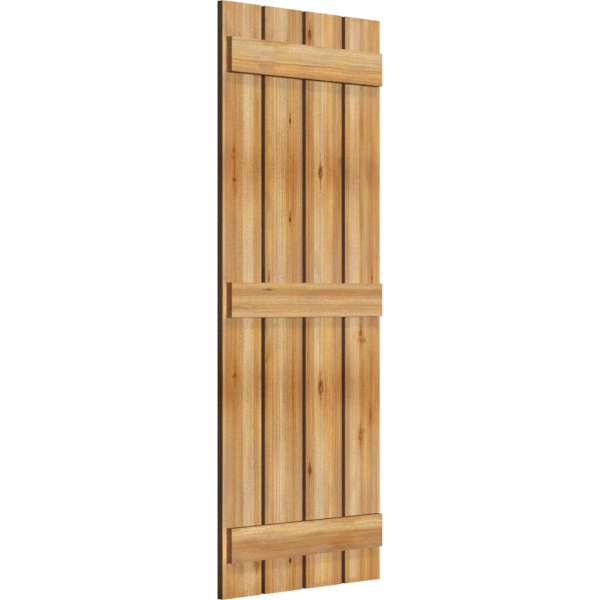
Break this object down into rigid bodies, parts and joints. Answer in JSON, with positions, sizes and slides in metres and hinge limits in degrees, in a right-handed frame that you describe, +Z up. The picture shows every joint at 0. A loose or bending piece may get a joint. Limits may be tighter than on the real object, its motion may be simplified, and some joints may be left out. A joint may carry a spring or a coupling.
{
  "type": "board and batten shutter",
  "caption": "Flat exterior window shutter of upright cedar boards with open joints between them, held by horizontal battens screwed across the front.",
  "frame": {"origin": "on the wall plane, at mid-height, behind the middle of the inner left board's back face", "axes": "+Z up along the boards, +Y into the wall, +X to the right as seen from the front"},
  "size_m": [0.5842, 0.0413, 1.524],
  "materials": {
    "cedar_board": "clear knotty cedar, fine sawn face, unpainted",
    "cedar_batten": "clear knotty cedar, fine sawn face, unpainted",
    "screw_steel": "zinc plated"
  },
  "bodies": {
    "root": {"left_board": "cedar_board", "inner_left_board": "cedar_board", "inner_right_board": "cedar_board", "right_board": "cedar_board", "top_batten": "cedar_batten", "middle_batten": "cedar_batten", "bottom_batten": "cedar_batten"}
  },
  "joints": []
}
